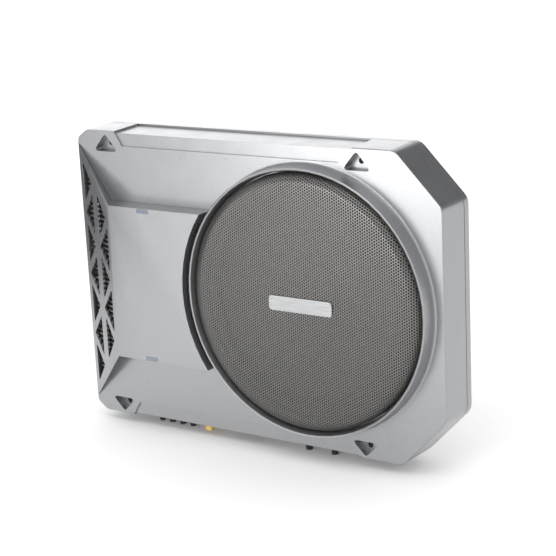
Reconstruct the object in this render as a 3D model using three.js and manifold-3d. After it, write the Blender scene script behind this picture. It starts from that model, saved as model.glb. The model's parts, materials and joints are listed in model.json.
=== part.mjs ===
// Powered under-seat car subwoofer: a flat cast case with a round grille over a shallow 200 mm driver,
// an amplifier behind a raised panel, a slanted truss guard over its heat sink, and the
// controls and sockets along the bottom edge.
// Millimetres. +X is to the right, +Y goes into the case and +Z is up, seen from the front.
// The pieces are laid out around the middle of the case's flat front face, and the whole
// group is then moved so that the origin is at the bottom centre.

import * as THREE from "three";
import { mergeVertices } from "three/addons/utils/BufferGeometryUtils.js";
import { ConvexGeometry } from "three/addons/geometries/ConvexGeometry.js";
import Module from "manifold-3d";

const wasm = await Module();
wasm.setup();

// ---------------------------------------------------------------- driving dimensions

const CASE_W = 345;
const CASE_H = 249;
const HALF_W = CASE_W / 2;
const HALF_H = CASE_H / 2;
const SHELL_BACK = 32.5;        // the front shell's rim
const COVER_FRONT = 33.3;       // the rear cover's rim, behind the seam gasket
const COVER_BACK = 41;          // the rear cover's flat edge
const PAN_BACK = 52;            // the raised pan in the middle of the rear cover
const FACE_T = 3.4;
const WALL_T = 3.2;
const EDGE_R = 1.2;
const DRAFT = 1.4;              // how far the side walls lean outwards from the face to the rear edge
const GAP = 0.3;

const LEFT_CUT = { x: 10, z: 7, radius: 6 };       // small corner cuts on the amplifier's side
const RIGHT_CUT = { x: 39, z: 41, radius: 11 };    // large corner cuts on the driver's side
const PAN_LEFT_CUT = { x: 14, z: 14, radius: 7 };
const PAN_RIGHT_CUT = { x: 34, z: 36, radius: 11 };

const STRIP_DEPTH = 1.6;               // the set-down strips along the top and bottom edges
const STRIP_Z = 112.3;
const STRIP_EDGE = [-134, 98];
const STRIP_INNER = [-125.5, 84.5];

const POCKET_X = [-142.6, 100.5];      // three-cornered screw pockets
const POCKET_HALF_W = 12.8;
const POCKET_DEPTH = 8;
const POCKET_ROWS = [
  { side: 1, baseZ: 107, apexZ: 122, screwZ: 113.4 },
  { side: -1, baseZ: 110, apexZ: 122.6, screwZ: 115.4 },
];

const DRIVER_X = 55;                   // the driver's axis
const RING_CREST_R = 107.8;
const RING_CREST_Y = -15;
const RING_FOOT_R = 111.8;
const RING_BORE_R = 105.4;
const LEDGE_R = 97.5;
const LEDGE_Y = -1.5;
const RING_SIDES = 60;

const PANEL_Y = -18;                   // the raised panel's front
const PANEL_HALF_H = 65.5;
const PANEL_END_R = 112.5;             // its end follows the ring
const FOLD_X = -129.6;                 // where the truss guard starts to slope down
const TRUSS_END_X = -171.8;
const TRUSS_END_Z = 112.7;
const TRUSS_ROOT_X = -140.6;           // the panel's corner down on the face
const SKIN_T = 2.6;

const CONTROL_Y = 18;                  // the controls' row, half way into the case
const FLOOR_Z = -HALF_H + WALL_T;      // inner side of the bottom wall
const KNOB_X = [-115.5, -104.5, -93.5, -82.5];
const KNOB_R = 2.65;
const KNOB_TIP_Z = -132.3;
const RCA_X = -60;
const RCA_Y = { left: 11.2, right: 21.6 };         // the two phono jacks stand one behind the other
const RCA_R = 4.15;
const RCA_TIP_Z = -129.8;
const SOCKET_X = -21;
const SWITCH_X = 8;
const SWITCH_TRAVEL = 4;
const FUSE_X = [36, 60.5];
const FUSE_CAP_R = 2.9;
const FUSE_TIP_Z = -133.5;

const BOARD_Y = 26;
const BOARD_T = 1.6;

const ORIGIN = new THREE.Vector3(0, (PANEL_Y + PAN_BACK) / 2, FUSE_TIP_Z);

// ---------------------------------------------------------------- materials

function finish(color, roughness, metalness) {
  return { color, roughness, metalness };
}

const FINISH = {
  silver: finish(0xc4c8cc, 0.34, 0.75),
  blackSteel: finish(0x2a2b2d, 0.5, 0.6),
  grille: finish(0x9a9792, 0.42, 0.85),
  bareAluminium: finish(0xaeb2b4, 0.4, 0.9),
  rubber: finish(0x18181a, 0.85, 0),
  paperCone: finish(0x1c1c1e, 0.75, 0),
  cloth: finish(0xa88c4e, 0.9, 0),
  copper: finish(0xb06a3a, 0.4, 0.9),
  ferrite: finish(0x303236, 0.7, 0.1),
  steel: finish(0x8e9296, 0.35, 0.95),
  blackPlastic: finish(0x141416, 0.5, 0),
  gold: finish(0xcaa24a, 0.28, 1),
  lens: finish(0x3a4452, 0.15, 0),
  board: finish(0x1f5a34, 0.55, 0),
  capSleeve: finish(0x23304a, 0.45, 0.1),
  redWire: finish(0xa02020, 0.5, 0),
};

// ---------------------------------------------------------------- solids

function solidOf(geometry) {
  const bare = geometry.clone();
  bare.deleteAttribute("normal");
  bare.deleteAttribute("uv");
  const merged = mergeVertices(bare);
  const corners = merged.index.array;
  const triangles = [];
  for (let i = 0; i < corners.length; i += 3) {
    const [a, b, c] = corners.slice(i, i + 3);
    const hasArea = a !== b && b !== c && c !== a;
    if (hasArea) triangles.push(a, b, c);
  }
  const mesh = new wasm.Mesh({
    numProp: 3,
    vertProperties: merged.attributes.position.array,
    triVerts: Uint32Array.from(triangles),
  });
  return new wasm.Manifold(mesh);
}

function join(solids) {
  return solids.reduce((whole, solid) => whole.add(solid));
}

function cut(body, tools) {
  return tools.reduce((rest, tool) => rest.subtract(tool), body);
}

const group = new THREE.Group();
const assembly = new THREE.Group();
assembly.position.copy(ORIGIN).negate();
group.add(assembly);

function addPart(name, look, solid) {
  const { vertProperties, triVerts } = solid.getMesh();
  const geometry = new THREE.BufferGeometry();
  geometry.setAttribute("position", new THREE.BufferAttribute(vertProperties, 3));
  geometry.setIndex(new THREE.BufferAttribute(triVerts, 1));
  geometry.computeVertexNormals();
  const mesh = new THREE.Mesh(geometry, new THREE.MeshStandardMaterial(look));
  mesh.name = name;
  assembly.add(mesh);
}

// A box between two opposite corners.
function box(low, high) {
  const geometry = new THREE.BoxGeometry(high[0] - low[0], high[1] - low[1], high[2] - low[2]);
  geometry.translate((low[0] + high[0]) / 2, (low[1] + high[1]) / 2, (low[2] + high[2]) / 2);
  return solidOf(geometry);
}

// A shape drawn in X and Z, running in depth from yFront to yBack.
function prism(shape, yFront, yBack, bevel = 0, curveSegments = 3) {
  const geometry = new THREE.ExtrudeGeometry(shape, {
    depth: yBack - yFront - 2 * bevel,
    curveSegments,
    bevelEnabled: bevel > 0,
    bevelSize: bevel,
    bevelOffset: -bevel,
    bevelThickness: bevel,
    bevelSegments: 2,
  });
  geometry.rotateX(Math.PI / 2);
  geometry.translate(0, yBack - bevel, 0);
  return solidOf(geometry);
}

// A round bar along Y.
function barY(x, z, radius, yFront, yBack, sides = 16) {
  const geometry = new THREE.CylinderGeometry(radius, radius, yBack - yFront, sides);
  geometry.translate(x, (yFront + yBack) / 2, z);
  return solidOf(geometry);
}

// A round bar along Z.
function barZ(x, y, radius, zLow, zHigh, sides = 16) {
  const geometry = new THREE.CylinderGeometry(radius, radius, zHigh - zLow, sides);
  geometry.rotateX(Math.PI / 2);
  geometry.translate(x, y, (zLow + zHigh) / 2);
  return solidOf(geometry);
}

// The convex solid around a set of points.
function convex(points) {
  return solidOf(new ConvexGeometry(points.map((point) => new THREE.Vector3(...point))));
}

// A profile of [radius, y] points turned around the driver's axis. It closes on itself or on the axis.
function turned(profile, sides) {
  const points = profile.map(([radius, y]) => new THREE.Vector2(radius, y));
  if (THREE.ShapeUtils.area(points) < 0) points.reverse();
  const isOnAxis = points[0].x === 0;
  if (!isOnAxis) points.push(points[0].clone());
  const geometry = new THREE.LatheGeometry(points, sides);
  geometry.translate(DRIVER_X, 0, 0);
  return solidOf(geometry);
}

function tube(inner, outer, yFront, yBack, sides) {
  return turned([[inner, yFront], [outer, yFront], [outer, yBack], [inner, yBack]], sides);
}

// ---------------------------------------------------------------- outlines

// Corners of a plate with cut corners, counter-clockwise from the lower left, each with its rounding.
function cutCorners(halfW, halfH, leftCut, rightCut) {
  const left = leftCut.radius;
  const right = rightCut.radius;
  return [
    [-halfW, -halfH + leftCut.z, left],
    [-halfW + leftCut.x, -halfH, left],
    [halfW - rightCut.x, -halfH, right],
    [halfW, -halfH + rightCut.z, right],
    [halfW, halfH - rightCut.z, right],
    [halfW - rightCut.x, halfH, right],
    [-halfW + leftCut.x, halfH, left],
    [-halfW, halfH - leftCut.z, left],
  ];
}

const CASE_CORNERS = cutCorners(HALF_W, HALF_H, LEFT_CUT, RIGHT_CUT);
const PAN_CORNERS = cutCorners(HALF_W - 14, HALF_H - 14, PAN_LEFT_CUT, PAN_RIGHT_CUT);

// Moves every side of a convex outline inwards by the same distance.
function insetCorners(corners, inset) {
  const count = corners.length;
  const sides = corners.map(([x, z], i) => {
    const [nextX, nextZ] = corners[(i + 1) % count];
    const along = new THREE.Vector2(nextX - x, nextZ - z).normalize();
    const start = new THREE.Vector2(x - along.y * inset, z + along.x * inset);
    return { start, along };
  });
  return corners.map(([, , radius], i) => {
    const before = sides[(i + count - 1) % count];
    const after = sides[i];
    const turn = before.along.cross(after.along);
    const reach = after.start.clone().sub(before.start).cross(after.along) / turn;
    const corner = before.start.clone().addScaledVector(before.along, reach);
    return [corner.x, corner.y, Math.max(radius - inset, 2)];
  });
}

// An outline with rounded corners, from [x, z, radius] corners.
function roundedShape(corners) {
  const count = corners.length;
  const shape = new THREE.Shape();
  corners.forEach(([x, z, radius], i) => {
    const corner = new THREE.Vector2(x, z);
    const last = new THREE.Vector2(...corners[(i + count - 1) % count].slice(0, 2));
    const next = new THREE.Vector2(...corners[(i + 1) % count].slice(0, 2));
    const back = last.sub(corner).normalize();
    const ahead = next.sub(corner).normalize();
    const reach = radius / Math.tan(back.angleTo(ahead) / 2);
    const from = corner.clone().addScaledVector(back, reach);
    const to = corner.clone().addScaledVector(ahead, reach);
    if (i === 0) shape.moveTo(from.x, from.y);
    else shape.lineTo(from.x, from.y);
    shape.quadraticCurveTo(x, z, to.x, to.y);
  });
  shape.closePath();
  return shape;
}

function caseOutline(inset) {
  return roundedShape(insetCorners(CASE_CORNERS, inset));
}

function panOutline(inset) {
  return roundedShape(insetCorners(PAN_CORNERS, inset));
}

// A solid between two or more outlines of the case, given as [depth, inset] and leaning with the draft.
function drafted(layers) {
  return convex(layers.flatMap(([y, inset]) => {
    const outline = caseOutline(inset - DRAFT * y / COVER_BACK);
    return outline.getPoints(3).map((point) => [point.x, y, point.y]);
  }));
}

function polygon(points) {
  return new THREE.Shape(points.map(([x, z]) => new THREE.Vector2(x, z)));
}

function bar(xLow, xHigh, zLow, zHigh, radius) {
  return roundedShape([
    [xLow, zLow, radius],
    [xHigh, zLow, radius],
    [xHigh, zHigh, radius],
    [xLow, zHigh, radius],
  ]);
}

// The three-cornered pocket, point up at the top edge (side 1) and down at the bottom edge (side -1).
function pocketShape({ x, side, baseZ, apexZ }, grow) {
  const base = side * (baseZ - grow);
  const apex = side * (apexZ + grow);
  const half = POCKET_HALF_W + 1.5 * grow;
  const corners = [[x - side * half, base, 2.4], [x + side * half, base, 2.4], [x, apex, 2.4]];
  return roundedShape(corners);
}

const EDGES = [1, -1];
const POCKETS = POCKET_ROWS.flatMap((row) => POCKET_X.map((x) => ({ x, ...row })));

// ---------------------------------------------------------------- case

const RING_PROFILE = [
  [LEDGE_R, 3],
  [LEDGE_R, LEDGE_Y],
  [RING_BORE_R, LEDGE_Y],
  [RING_BORE_R + 0.2, -9.5],
  [RING_CREST_R - 0.9, -14.4],
  [RING_CREST_R, RING_CREST_Y],
  [RING_CREST_R + 0.9, -14.4],
  [109.5, -3.6],
  [109.8, -1.7],
  [110.5, -0.6],
  [RING_FOOT_R, 0.05],
  [RING_FOOT_R, 3],
];

// The face's window under the raised panel and the truss guard, inset from the guard's foot.
function guardWindow() {
  const endR = PANEL_END_R + SKIN_T + 1;
  const halfH = PANEL_HALF_H - SKIN_T - 1;
  const halfAngle = Math.asin(halfH / endR);
  const shape = new THREE.Shape();
  shape.moveTo(-167.5, -98);
  shape.lineTo(-140, -halfH);
  shape.absarc(DRIVER_X, 0, endR, Math.PI + halfAngle, Math.PI - halfAngle, true);
  shape.lineTo(-140, halfH);
  shape.lineTo(-167.5, 98);
  shape.closePath();
  return shape;
}

function stripCuts(side) {
  const outside = side * (HALF_H + 4);
  const floorZ = (y) => side * (HALF_H - STRIP_DEPTH + DRAFT * y / COVER_BACK);
  const face = polygon([
    [STRIP_EDGE[0] - 1.4, outside],
    [STRIP_INNER[0], side * STRIP_Z],
    [STRIP_INNER[1], side * STRIP_Z],
    [STRIP_EDGE[1] + 2.2, outside],
  ]);
  const edge = convex([-1, SHELL_BACK + 1].flatMap((y) => [
    [STRIP_EDGE[0], y, outside],
    [STRIP_EDGE[0] + STRIP_DEPTH, y, floorZ(y)],
    [STRIP_EDGE[1] - STRIP_DEPTH, y, floorZ(y)],
    [STRIP_EDGE[1], y, outside],
  ]));
  return [prism(face, -1, STRIP_DEPTH), edge];
}

function controlHoles() {
  const low = -HALF_H - 2;
  const high = FLOOR_Z + 2;
  const round = (x, radius) => barZ(x, CONTROL_Y, radius, low, high);
  return [
    ...KNOB_X.map((x) => round(x, 3.1)),
    ...Object.values(RCA_Y).map((y) => barZ(RCA_X, y, RCA_R + 0.4, low, high)),
    ...FUSE_X.map((x) => round(x, 3.2)),
    box([SOCKET_X - 15.3, CONTROL_Y - 6.3, low], [SOCKET_X + 15.3, CONTROL_Y + 6.3, high]),
    box([SWITCH_X - 5, CONTROL_Y - 1.6, low], [SWITCH_X + 5, CONTROL_Y + 1.6, high]),
  ];
}

function makeFrontShell() {
  const block = drafted([[0, EDGE_R], [0.3 * EDGE_R, 0.3 * EDGE_R], [EDGE_R, 0], [SHELL_BACK, 0]]);
  const cavity = drafted([[FACE_T, WALL_T], [SHELL_BACK + 1, WALL_T]]);
  const tray = cut(block, [cavity, ...EDGES.flatMap(stripCuts)]);
  const bosses = POCKETS.flatMap((pocket) => [
    prism(pocketShape(pocket, 1.6), FACE_T - 1, POCKET_DEPTH + 2.4),
    barY(pocket.x, pocket.side * pocket.screwZ, 5, POCKET_DEPTH + 1, 19.5),
  ]);
  const pockets = POCKETS.flatMap((pocket) => [
    prism(pocketShape(pocket, 0), -1, POCKET_DEPTH),
    barY(pocket.x, pocket.side * pocket.screwZ, 2.4, POCKET_DEPTH - 1, POCKET_DEPTH + 4, 16),
    barY(pocket.x, pocket.side * pocket.screwZ, 1.8, POCKET_DEPTH + 3, 21, 12),
  ]);
  const driverHole = barY(DRIVER_X, 0, LEDGE_R + 1.2, -1, FACE_T + 1, RING_SIDES);
  const window = prism(guardWindow(), -1, FACE_T + 1, 0, 8);
  const openings = [...pockets, driverHole, window, ...controlHoles()];
  const shell = cut(join([tray, ...bosses]), openings);
  return shell.add(turned(RING_PROFILE, RING_SIDES));
}

function makeRearCover() {
  const edgeR = 1.4;
  const edge = [[COVER_BACK - edgeR, 0], [COVER_BACK - 0.3 * edgeR, 0.3 * edgeR], [COVER_BACK, edgeR]];
  const rim = drafted([[COVER_FRONT, 0], ...edge]);
  const pan = prism(panOutline(0), COVER_BACK - 6, PAN_BACK, 2.5);
  const cavity = drafted([[COVER_FRONT - 1, WALL_T], [COVER_BACK - 2.4, WALL_T]]);
  const panCavity = prism(panOutline(2.4), COVER_BACK - 8, PAN_BACK - 2.4);
  const tray = cut(rim.add(pan), [cavity, panCavity]);
  const bosses = POCKETS.map(({ x, side, screwZ }) => barY(x, side * screwZ, 4.5, 19.8, COVER_BACK - 1));
  const screwHoles = POCKETS.map(({ x, side, screwZ }) => barY(x, side * screwZ, 1.8, 19, COVER_FRONT, 12));
  const posts = BOARD_POSTS.map(([x, z]) => barY(x, z, 3, BOARD_Y + BOARD_T + GAP, PAN_BACK - 1, 12));
  return cut(join([tray, ...bosses, ...posts]), screwHoles);
}

function makeSeamGasket() {
  const outer = drafted([[SHELL_BACK + 0.05, 0.8], [COVER_FRONT - 0.05, 0.8]]);
  return outer.subtract(drafted([[SHELL_BACK - 1, WALL_T], [COVER_FRONT + 1, WALL_T]]));
}

// Case screws: from a pocket's floor, through the shell's boss, into the rear cover's boss.
function makeCaseScrew(x, z) {
  const headFront = POCKET_DEPTH + 1.6;
  const head = barY(x, z, 2.1, headFront, headFront + 2.1, 12);
  const shank = barY(x, z, 1.5, headFront + 1, COVER_FRONT - 1, 10);
  const socket = barY(x, z, 1.1, headFront - 1, headFront + 1, 6);
  return head.add(shank).subtract(socket);
}

// ---------------------------------------------------------------- raised panel and truss guard

const TRUSS_SLOPE = PANEL_Y / (FOLD_X - TRUSS_END_X);

function trussY(x) {
  return TRUSS_SLOPE * (x - TRUSS_END_X);
}

function mirrored(points) {
  return points.flatMap(([x, y, z]) => [[x, y, z], [x, y, -z]]);
}

// A triangle with its upright side at x and its tip pointing sideways to tipX.
function trussTriangle(x, tipX, z, half) {
  const turn = tipX > x ? 1 : -1;
  return roundedShape([[x, z + turn * half, 0.9], [x, z - turn * half, 0.9], [tipX, z, 0.9]]);
}

// The truss repeats every TRUSS_PERIOD, in two columns that are half a period apart.
const TRUSS_PERIOD = 53.6;
const TRUSS_COLUMNS = [
  { x: -167.4, tipX: -155.1, half: 17.6, periods: [-1.5, -0.5, 0.5, 1.5] },
  { x: -154.7, tipX: -167.7, half: 18.4, periods: [-1, 0, 1] },
  { x: -147.6, tipX: -135.8, half: 19, periods: [-1, 0, 1] },
  { x: -134.1, tipX: -148.1, half: 19.4, periods: [-0.5, 0.5] },
];

function trussHoles() {
  return TRUSS_COLUMNS.flatMap(({ x, tipX, half, periods }) => periods.map((period) => {
    const triangle = trussTriangle(x, tipX, period * TRUSS_PERIOD, half);
    return prism(triangle, PANEL_Y - 5, 3, 0, 2);
  }));
}

const LENS = { x: -94, z: 63.3, halfW: 6.2, halfH: 1.5, depth: 2, sunk: 0.1, clearance: 0.15 };

function lensSlot(side, grow, front, back) {
  const z = side * LENS.z;
  const halfW = LENS.halfW + grow;
  const halfH = LENS.halfH + grow;
  return prism(bar(LENS.x - halfW, LENS.x + halfW, z - halfH, z + halfH, halfH * 0.9), front, back);
}

function lensPocket(side) {
  return lensSlot(side, LENS.clearance, PANEL_Y - 1, PANEL_Y + LENS.depth);
}

function makeLens(side) {
  return lensSlot(side, 0, PANEL_Y + LENS.sunk, PANEL_Y + LENS.depth - LENS.clearance);
}

function makeVentGuard() {
  const foot = -0.25;
  const right = -20;
  const block = convex(mirrored([
    [TRUSS_ROOT_X, foot, PANEL_HALF_H],
    [FOLD_X, PANEL_Y, PANEL_HALF_H],
    [right, PANEL_Y, PANEL_HALF_H],
    [right, foot, PANEL_HALF_H],
  ]));
  const wedge = convex(mirrored([
    [TRUSS_END_X, foot, TRUSS_END_Z],
    [TRUSS_ROOT_X, foot, PANEL_HALF_H],
    [FOLD_X, PANEL_Y, PANEL_HALF_H],
  ]));
  const innerHalf = PANEL_HALF_H - SKIN_T;
  const innerSkin = trussY(FOLD_X) + SKIN_T;
  const open = 2;
  const blockHollow = convex(mirrored([
    [TRUSS_ROOT_X - 4, open, innerHalf],
    [FOLD_X, innerSkin, innerHalf],
    [right + 2, innerSkin, innerHalf],
    [right + 2, open, innerHalf],
  ])).subtract(barY(DRIVER_X, 0, PANEL_END_R + SKIN_T, PANEL_Y, open + 1, RING_SIDES));
  const wedgeHollow = convex(mirrored([
    [TRUSS_END_X + (SKIN_T - open) / -TRUSS_SLOPE, open, 106],
    [TRUSS_ROOT_X - 2, open, innerHalf],
    [FOLD_X, innerSkin, innerHalf],
  ]));
  const sweep = barY(DRIVER_X, 0, PANEL_END_R, PANEL_Y - 1, 1, RING_SIDES);
  const lensPockets = EDGES.map(lensPocket);
  return cut(block.add(wedge), [sweep, blockHollow, wedgeHollow, ...trussHoles(), ...lensPockets]);
}

// ---------------------------------------------------------------- heat sink

const FIN_PITCH = 4.2;
const FIN_T = 1.4;
const FIN_ROWS = 43;
const SINK = { left: -166, right: -132.5, front: 14, back: 18, halfH: 60, cornerX: -141, cornerZ: 96 };

// A fin's right end follows the plate's slanted corner.
function finRight(z) {
  const slant = Math.max(0, (Math.abs(z) + FIN_T - SINK.halfH) / (SINK.cornerZ - SINK.halfH));
  const end = slant > 0 ? SINK.cornerX + slant * (SINK.left - SINK.cornerX) : SINK.right;
  return end - 0.5;
}

function makeFin(z) {
  const left = SINK.left + 0.5;
  const right = finRight(z);
  const finY = (x) => trussY(x) + SKIN_T + 1;
  const root = SINK.front + 1;
  const outline = [[left, finY(left)], [right, finY(right)], [right, root], [left, root]];
  const faces = [z - FIN_T / 2, z + FIN_T / 2];
  return convex(faces.flatMap((height) => outline.map(([x, y]) => [x, y, height])));
}

function makeHeatSink() {
  const plate = polygon([
    [SINK.left, -SINK.cornerZ],
    [SINK.cornerX, -SINK.halfH],
    [SINK.right, -SINK.halfH],
    [SINK.right, SINK.halfH],
    [SINK.cornerX, SINK.halfH],
    [SINK.left, SINK.cornerZ],
  ]);
  const middleRow = (FIN_ROWS - 1) / 2;
  const fins = Array.from({ length: FIN_ROWS }, (_, row) => makeFin((row - middleRow) * FIN_PITCH));
  return join([prism(plate, SINK.front, SINK.back), ...fins]);
}

// ---------------------------------------------------------------- grille

const GRILLE_R = 104.3;
const GRILLE_FRONT = -14.8;
const GRILLE_ROLL = 8;
const GRILLE_T = 1;

function makeGrilleMesh() {
  const rollR = GRILLE_R - GRILLE_ROLL;
  const rollY = GRILLE_FRONT + GRILLE_ROLL;
  const arc = (radius) => [0, 0.25, 0.5, 0.75, 1].map((part) => {
    const angle = part * Math.PI / 2;
    return [rollR + radius * Math.sin(angle), rollY - radius * Math.cos(angle)];
  });
  const inside = arc(GRILLE_ROLL - GRILLE_T).reverse();
  const rimY = -3.6;
  const profile = [
    [0, GRILLE_FRONT - 0.3],
    ...arc(GRILLE_ROLL),
    [GRILLE_R, rimY],
    [GRILLE_R - GRILLE_T, rimY],
    ...inside,
    [0, GRILLE_FRONT + GRILLE_T - 0.3],
  ];
  return turned(profile, 48);
}

function makeBadgePlate() {
  return prism(bar(DRIVER_X - 29, DRIVER_X + 29, -6, 6, 3), GRILLE_FRONT - 1.7, GRILLE_FRONT - 0.45);
}

// ---------------------------------------------------------------- driver

const DRIVER_SIDES = 30;
const CONE_RIM = { r: 84, y: -3 };
const CONE_NECK = { r: 21.2, y: 14 };
const FLANGE_FRONT = LEDGE_Y - 1.7;
const GAP_R = { pole: 18.3, formerIn: 19.2, formerOut: 19.9, coilOut: 20.8, plate: 21.3 };
const PLATE_Y = [28.8, 33.8];
const MAGNET_Y = [33.85, 43.6];
const MOTOR_BACK = 48.8;

const BASKET_PROFILE = [
  [104.9, FLANGE_FRONT],
  [104.9, LEDGE_Y - 0.05],
  [94.4, LEDGE_Y - 0.05],
  [89.4, 12.4],
  [55.2, 21.6],
  [48.4, 21.6],
  [47.6, PLATE_Y[0] - 0.05],
  [30, PLATE_Y[0] - 0.05],
  [30, 26.6],
  [45.2, 26.6],
  [46, 19.6],
  [54.6, 19.6],
  [87.4, 10.6],
  [92.4, FLANGE_FRONT],
];

function makeBasket() {
  const windowCount = 6;
  const ringOf = tube(58, 85.5, 2, 26, DRIVER_SIDES);
  const spokes = [];
  for (let i = 0; i < windowCount / 2; i++) {
    const geometry = new THREE.BoxGeometry(200, 60, 16);
    geometry.rotateY((i + 0.5) * 2 * Math.PI / windowCount);
    geometry.translate(DRIVER_X, 15, 0);
    spokes.push(solidOf(geometry));
  }
  const windows = cut(ringOf, spokes);
  const screwHoles = FLANGE_SCREWS.map(([x, z]) => barY(x, z, 1.9, FLANGE_FRONT - 1, LEDGE_Y + 1, 12));
  return cut(turned(BASKET_PROFILE, 36), [windows, ...screwHoles]);
}

function makeSurround() {
  const rollR = (93 + 82.5) / 2;
  const arcSteps = [0, 1, 2, 3, 4, 5, 6];
  const roll = (radius) => arcSteps.map((step) => {
    const angle = step * Math.PI / 6;
    return [rollR + radius * Math.cos(angle), -3.9 - radius * Math.sin(angle)];
  });
  const profile = [
    [79, -3.3],
    [98.4, -3.3],
    [98.4, -3.9],
    ...roll(5.25),
    [79, -3.9],
  ];
  const outer = turned(profile, 36);
  const hollow = [[rollR + 4.65, -3], ...roll(4.65), [rollR - 4.65, -3]];
  return outer.subtract(turned(hollow, 36));
}

function makeCone() {
  return turned([
    [CONE_NECK.r, CONE_NECK.y],
    [CONE_NECK.r, CONE_NECK.y + 1],
    [CONE_RIM.r, CONE_RIM.y + 0.9],
    [CONE_RIM.r, CONE_RIM.y - 0.1],
  ], DRIVER_SIDES);
}

// The dust cap is a shallow dome glued on the cone.
function makeDustCap() {
  const rimR = 32;
  const coneSlope = (CONE_RIM.y - CONE_NECK.y) / (CONE_RIM.r - CONE_NECK.r);
  const coneY = CONE_NECK.y + (rimR - CONE_NECK.r) * coneSlope;
  const rimY = coneY - 0.6;
  const rise = 7.5;
  const parts = [0, 0.25, 0.5, 0.75, 1];
  const dome = (thickness) => parts.map((part) => {
    const radius = part * rimR;
    return [radius, rimY - rise * (1 - part * part) - thickness];
  });
  return turned([...dome(0.8), ...dome(0).reverse()], 24);
}

// A corrugated disc between the coil former and the basket's inner ledge.
function makeSpider() {
  const inner = GAP_R.formerOut + 0.3;
  const lastWave = 45;
  const rim = 53.5;
  const steps = 8;
  const restY = 18.7;
  const line = (offset) => {
    const waves = Array.from({ length: steps + 1 }, (_, step) => {
      const radius = inner + (lastWave - inner) * step / steps;
      const isEnd = step === 0 || step === steps;
      const swing = step % 2 === 0 ? 1.2 : -1.2;
      return [radius, restY + offset + (isEnd ? 0 : swing)];
    });
    return [...waves, [rim, restY + offset]];
  };
  return turned([...line(0), ...line(0.7).reverse()], DRIVER_SIDES);
}

function makeMotor() {
  const yoke = turned([
    [0, PLATE_Y[0]],
    [GAP_R.pole, PLATE_Y[0]],
    [GAP_R.pole, MAGNET_Y[1] + 0.05],
    [42, MAGNET_Y[1] + 0.05],
    [44, 46],
    [44, MOTOR_BACK],
    [0, MOTOR_BACK],
  ], DRIVER_SIDES);
  addPart("top_plate", FINISH.steel, tube(GAP_R.plate, 45, PLATE_Y[0], PLATE_Y[1], DRIVER_SIDES));
  addPart("magnet", FINISH.ferrite, tube(25, 46.5, MAGNET_Y[0], MAGNET_Y[1], DRIVER_SIDES));
  addPart("pole_yoke", FINISH.steel, yoke);
}

const FLANGE_SCREW_R = 101.4;
const FLANGE_SCREWS = [0, 1, 2, 3, 4, 5].map((i) => {
  const angle = (i + 0.5) * Math.PI / 3;
  return [DRIVER_X + FLANGE_SCREW_R * Math.cos(angle), FLANGE_SCREW_R * Math.sin(angle)];
});

function makeDriverScrew(x, z) {
  const head = barY(x, z, 1.75, FLANGE_FRONT - 1.5, FLANGE_FRONT - 0.05, 12);
  return head.add(barY(x, z, 1.2, FLANGE_FRONT - 0.5, LEDGE_Y - 0.1, 8));
}

// ---------------------------------------------------------------- amplifier

const BOARD_POSTS = [[-152, 88], [-152, -88], [-64, 88], [-64, -60]];
const SINK_DEVICE_Z = [-45, -15, 15, 45];

function makeAmpBoard() {
  const outline = polygon([
    [-164, -102],
    [-131, -102],
    [-131, -118],
    [-6, -118],
    [-6, -96],
    [-58, -72],
    [-58, 104],
    [-164, 104],
  ]);
  return prism(outline, BOARD_Y, BOARD_Y + BOARD_T);
}

// A flat power transistor against the heat sink's back, with its legs bent down to the board.
function makeTransistor(z) {
  const body = box([-161, 18.3, z - 5], [-146, 22.8, z + 5]);
  const legs = [-2.5, 0, 2.5].flatMap((offset) => [
    box([-147, 20, z + offset - 0.5], [-142, 20.8, z + offset + 0.5]),
    box([-142.8, 20, z + offset - 0.5], [-142, BOARD_Y - 0.1, z + offset + 0.5]),
  ]);
  return join([body, ...legs]);
}

function makeCapacitor(x, z) {
  return barY(x, z, 11, -8, BOARD_Y - 0.1, 20);
}

function makeToroid(x, z) {
  const geometry = new THREE.TorusGeometry(12, 5.4, 8, 16);
  geometry.rotateX(Math.PI / 2);
  geometry.translate(x, BOARD_Y - 5.6, z);
  return solidOf(geometry);
}

function makeWire(offset) {
  const path = new THREE.CatmullRomCurve3([
    new THREE.Vector3(-62, BOARD_Y - 0.2, 12 * offset),
    new THREE.Vector3(-61.5, 20, 12 * offset),
    new THREE.Vector3(-54, 12, 8 * offset),
    new THREE.Vector3(-48.4, 7, 3 * offset),
  ]);
  const section = new THREE.Shape();
  section.absarc(0, 0, 0.9, 0, 2 * Math.PI);
  const geometry = new THREE.ExtrudeGeometry(section, {
    steps: 10,
    curveSegments: 4,
    extrudePath: path,
    bevelEnabled: false,
  });
  return solidOf(geometry);
}

// The driver's terminal block, on the side of the basket that faces the board.
function makeTerminalBlock() {
  const body = box([-43, 4, -6.5], [-38, 10, 6.5]);
  const tabs = [3, -3].map((z) => box([-48, 6.6, z - 1.6], [-42, 7.4, z + 1.6]));
  const wireHoles = [3, -3].map((z) => box([-50, 5, z - 1.2], [-46.8, 9, z + 1.2]));
  return cut(join([body, ...tabs]), wireHoles);
}

// ---------------------------------------------------------------- controls and sockets

const BUSH_R = 2.5;
const SHAFT_R = 1.2;
const KNOB_TOP_Z = -HALF_H + 1.0;

function makePot(x) {
  const body = box([x - 4.9, CONTROL_Y - 5, FLOOR_Z + 0.2], [x + 4.9, BOARD_Y - 0.1, FLOOR_Z + 9.8]);
  const bush = barZ(x, CONTROL_Y, BUSH_R, -HALF_H + 1.4, FLOOR_Z + 1);
  const shaft = barZ(x, CONTROL_Y, SHAFT_R, KNOB_TIP_Z + 3.2, FLOOR_Z + 1, 12);
  return join([body, bush, shaft]);
}

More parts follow.
